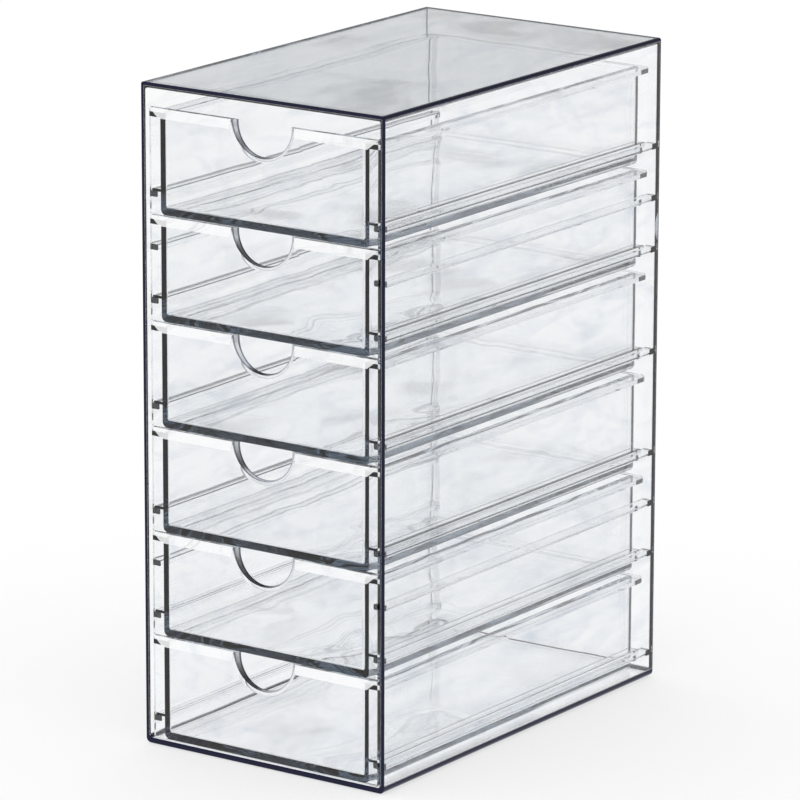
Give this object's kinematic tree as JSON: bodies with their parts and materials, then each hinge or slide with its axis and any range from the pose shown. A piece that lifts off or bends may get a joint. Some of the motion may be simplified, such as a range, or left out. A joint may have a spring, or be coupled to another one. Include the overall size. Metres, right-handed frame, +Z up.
{
  "type": "clear drawer organizer",
  "caption": "Clear moulded desktop organizer: a tall case, open at the front, with a stack of shallow sliding drawers, each with a half-round finger notch.",
  "frame": {"origin": "middle of the case's footprint, on the surface that it stands on", "axes": "+X to the right as seen from the front, -Y out of the open front, +Z up"},
  "size_m": [0.108, 0.18, 0.25],
  "materials": {
    "case_plastic": "clear moulded plastic, glossy, with slight flow ripples and dark cut edges",
    "drawer_plastic": "clear moulded plastic, glossy, with slight flow ripples and dark edges"
  },
  "bodies": {
    "case": {"case": "case_plastic"},
    "drawer_1": {"drawer_1": "drawer_plastic"},
    "drawer_2": {"drawer_2": "drawer_plastic"},
    "drawer_3": {"drawer_3": "drawer_plastic"},
    "drawer_4": {"drawer_4": "drawer_plastic"},
    "drawer_5": {"drawer_5": "drawer_plastic"},
    "drawer_6": {"drawer_6": "drawer_plastic"}
  },
  "joints": [
    {"name": "drawer_1_slide", "type": "slide", "parent": "case", "child": "drawer_1", "axis": [0, -1, 0], "range_m": [0, 0.13]},
    {"name": "drawer_2_slide", "type": "slide", "parent": "case", "child": "drawer_2", "axis": [0, -1, 0], "range_m": [0, 0.13]},
    {"name": "drawer_3_slide", "type": "slide", "parent": "case", "child": "drawer_3", "axis": [0, -1, 0], "range_m": [0, 0.13]},
    {"name": "drawer_4_slide", "type": "slide", "parent": "case", "child": "drawer_4", "axis": [0, -1, 0], "range_m": [0, 0.13]},
    {"name": "drawer_5_slide", "type": "slide", "parent": "case", "child": "drawer_5", "axis": [0, -1, 0], "range_m": [0, 0.13]},
    {"name": "drawer_6_slide", "type": "slide", "parent": "case", "child": "drawer_6", "axis": [0, -1, 0], "range_m": [0, 0.13]}
  ]
}
